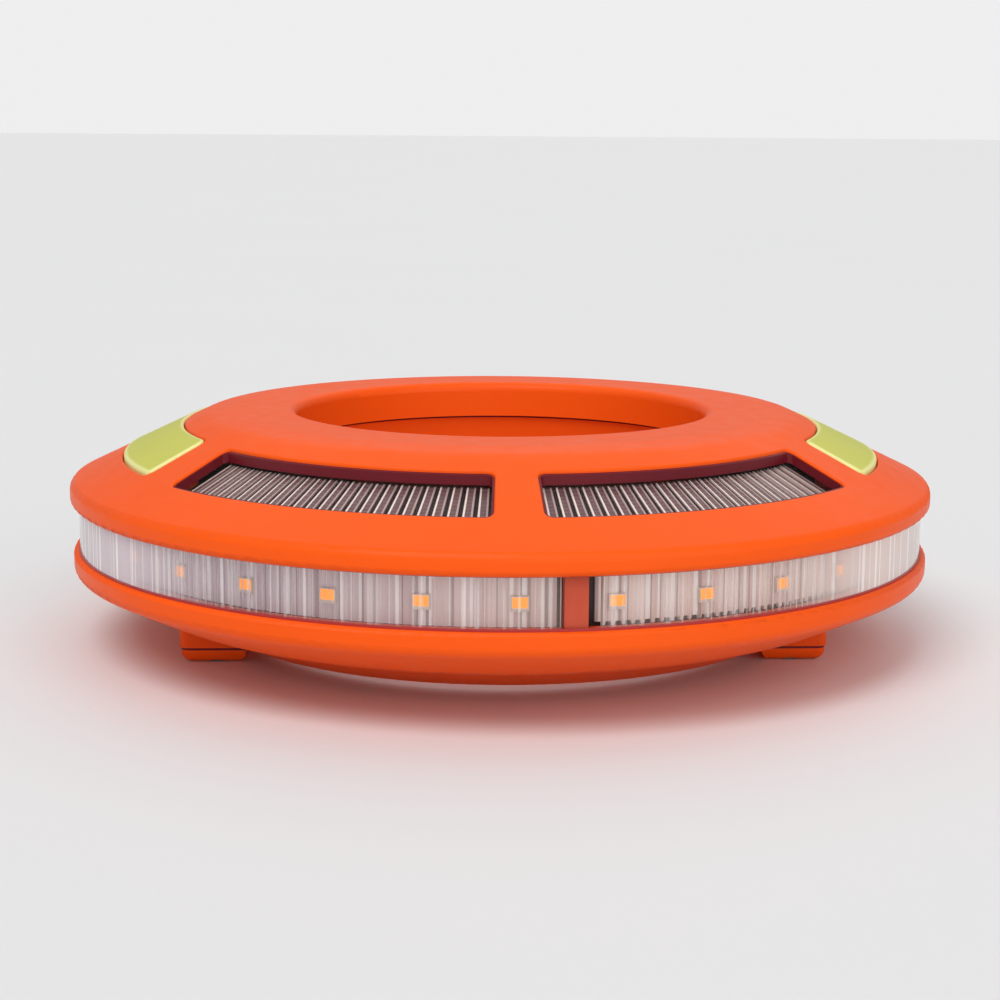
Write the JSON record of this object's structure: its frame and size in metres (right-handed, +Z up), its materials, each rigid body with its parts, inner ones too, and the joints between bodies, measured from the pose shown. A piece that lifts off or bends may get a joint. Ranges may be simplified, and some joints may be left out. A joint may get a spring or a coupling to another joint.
{
  "type": "ring warning light for a traffic cone",
  "caption": "Ring-shaped solar LED warning light that slides over a traffic cone, with a clear lens band, solar windows and two large keys.",
  "frame": {"origin": "on the ring's axis, in the plane of the battery covers' undersides that the light stands on", "axes": "+Z up along the ring's axis, -Y the front between the two front solar windows, +X to the right"},
  "size_m": [0.28, 0.28, 0.075],
  "materials": {
    "battery": "blue shrink sleeve",
    "button": "lime satin rubber over plastic",
    "chip": "black moulded epoxy",
    "circuit_board": "green solder mask",
    "connector": "ivory nylon",
    "contact_metal": "nickel-plated strip",
    "housing": "fine-textured orange impact plastic",
    "inner_frame": "white moulded plastic",
    "lead": "red insulation",
    "led": "amber emitters in white packages",
    "led_board": "white reflective strip board",
    "lens": "clear fluted polycarbonate",
    "screw_steel": "zinc-plated steel",
    "seal": "dark red moulded rubber",
    "solar_cell": "dark silicon strips with pale edges",
    "solar_panel": "black circuit board",
    "solar_window": "clear flat cover",
    "spring_steel": "drawn spring wire"
  },
  "bodies": {
    "housing": {"board_connectors": "connector", "board_screws": "screw_steel", "bottom_housing": "housing", "case_screws": "screw_steel", "control_board": "circuit_board", "control_chips": "chip", "cover_screws": "screw_steel", "front_left_solar_cells": "solar_cell", "front_left_solar_panel": "solar_panel", "front_left_solar_window": "solar_window", "front_left_window_gasket": "seal", "front_right_solar_cells": "solar_cell", "front_right_solar_panel": "solar_panel", "front_right_solar_window": "solar_window", "front_right_window_gasket": "seal", "led_carrier": "inner_frame", "left_battery": "battery", "left_battery_contacts": "contact_metal", "left_battery_cover": "housing", "left_battery_lead": "lead", "left_cover_gasket": "seal", "left_led_board": "led_board", "left_leds": "led", "left_lens": "lens", "left_switch_board": "circuit_board", "left_tact_switch": "chip", "lower_lens_seal": "seal", "rear_left_solar_cells": "solar_cell", "rear_left_solar_panel": "solar_panel", "rear_left_solar_window": "solar_window", "rear_left_window_gasket": "seal", "rear_right_solar_cells": "solar_cell", "rear_right_solar_panel": "solar_panel", "rear_right_solar_window": "solar_window", "rear_right_window_gasket": "seal", "right_battery": "battery", "right_battery_contacts": "contact_metal", "right_battery_cover": "housing", "right_battery_lead": "lead", "right_cover_gasket": "seal", "right_led_board": "led_board", "right_leds": "led", "right_lens": "lens", "right_switch_board": "circuit_board", "right_tact_switch": "chip", "throat_gasket": "seal", "top_housing": "housing", "upper_lens_seal": "seal"},
    "left_button": {"left_button": "button", "left_button_springs": "spring_steel", "left_switch_plunger": "chip"},
    "right_button": {"right_button": "button", "right_button_springs": "spring_steel", "right_switch_plunger": "chip"}
  },
  "joints": [
    {"name": "left_button_press", "type": "slide", "parent": "housing", "child": "left_button", "axis": [0, 0, -1], "range_m": [0, 0.0015], "stiffness_N_per_m": 800, "springref_m": -0.002, "deforming": ["left_button_springs"]},
    {"name": "right_button_press", "type": "slide", "parent": "housing", "child": "right_button", "axis": [0, 0, -1], "range_m": [0, 0.0015], "stiffness_N_per_m": 800, "springref_m": -0.002, "deforming": ["right_button_springs"]}
  ]
}
